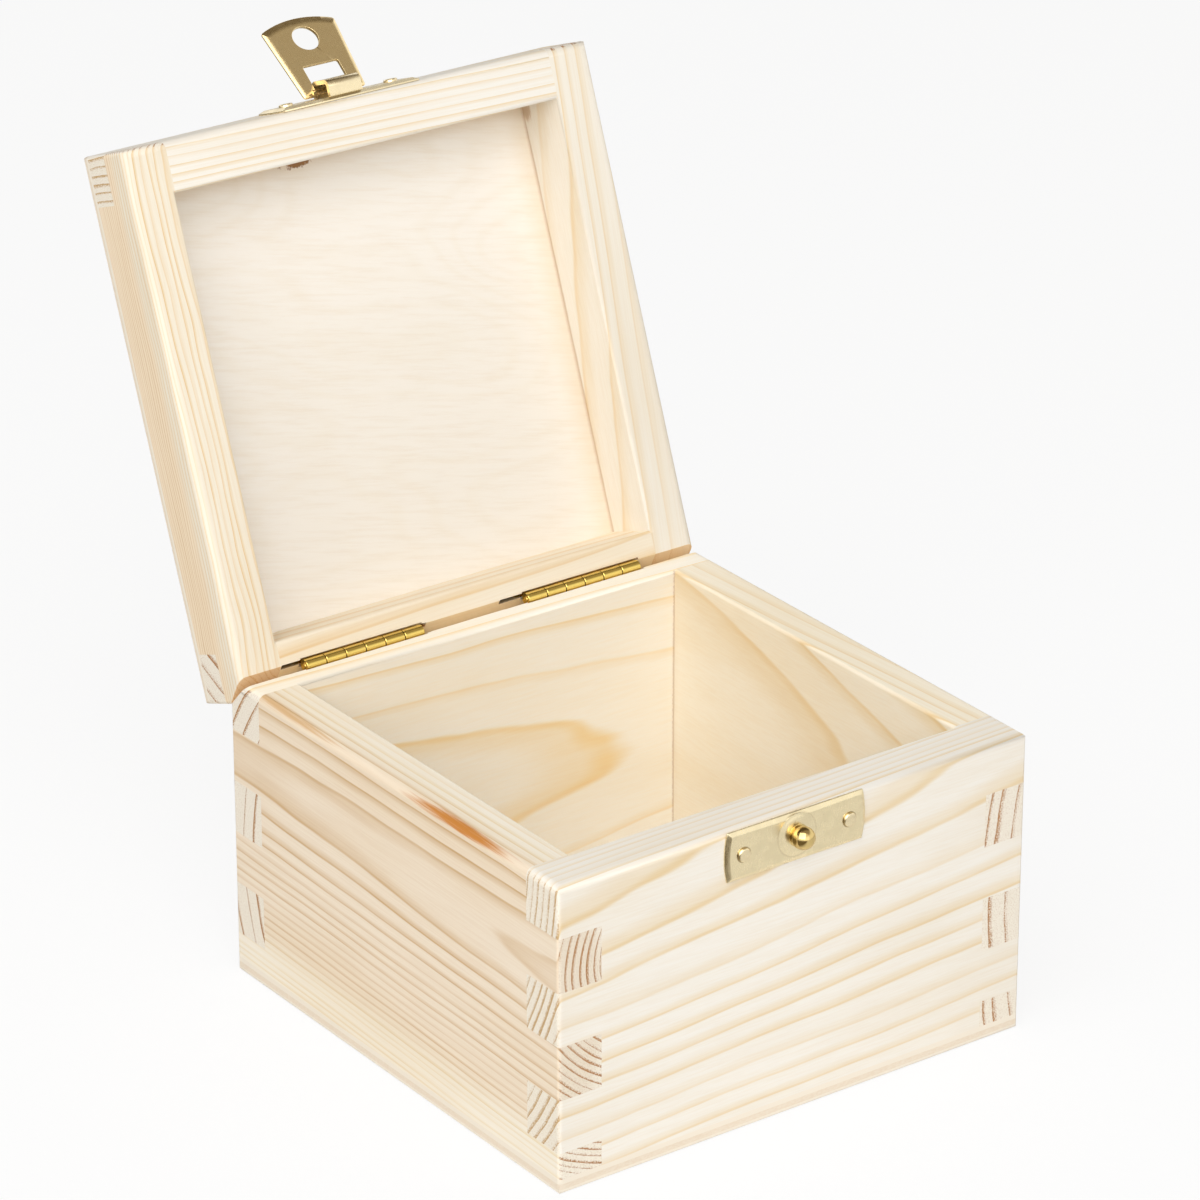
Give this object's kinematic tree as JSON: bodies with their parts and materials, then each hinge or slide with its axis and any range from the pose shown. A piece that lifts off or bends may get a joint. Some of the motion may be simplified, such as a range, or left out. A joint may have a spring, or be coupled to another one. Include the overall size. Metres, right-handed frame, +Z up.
{
  "type": "hinged wooden box",
  "caption": "Square keepsake box of raw pine with comb-jointed corners, a lid on pressed-in brass hinges, and a brass hasp whose tongue drops over a knob on the front.",
  "frame": {"origin": "middle of the underside of the bottom panel, which the box stands on", "axes": "+Z up, +Y to the back where the hinges are, +X to the right of someone facing the hasp"},
  "size_m": [0.12, 0.1858, 0.1884],
  "materials": {
    "pine": "raw sanded pine",
    "plywood": "raw sanded birch plywood",
    "brass": "satin brass plating"
  },
  "bodies": {
    "base": {"base_front_board": "pine", "base_back_board": "pine", "base_left_board": "pine", "base_right_board": "pine", "base_bottom_panel": "plywood", "left_hinge_base_leaf": "brass", "left_hinge_pin": "brass", "right_hinge_base_leaf": "brass", "right_hinge_pin": "brass", "strike_plate": "brass", "strike_nails": "brass", "strike_knob": "brass"},
    "lid": {"lid_front_board": "pine", "lid_back_board": "pine", "lid_left_board": "pine", "lid_right_board": "pine", "lid_top_panel": "plywood", "left_hinge_lid_leaf": "brass", "right_hinge_lid_leaf": "brass", "hasp_plate": "brass", "hasp_nails": "brass"},
    "tongue": {"hasp_tongue": "brass"}
  },
  "joints": [
    {"name": "lid_hinge", "type": "hinge", "parent": "base", "child": "lid", "pos_m": [0, 0.0554, 0.06988], "axis": [-1, 0, 0], "range_deg": [-110.88, 0]},
    {"name": "tongue_swing", "type": "hinge", "parent": "lid", "child": "tongue", "pos_m": [-0.0011, 0.10503, 0.17659], "axis": [-1, 0, 0], "range_deg": [-122, 50]}
  ]
}
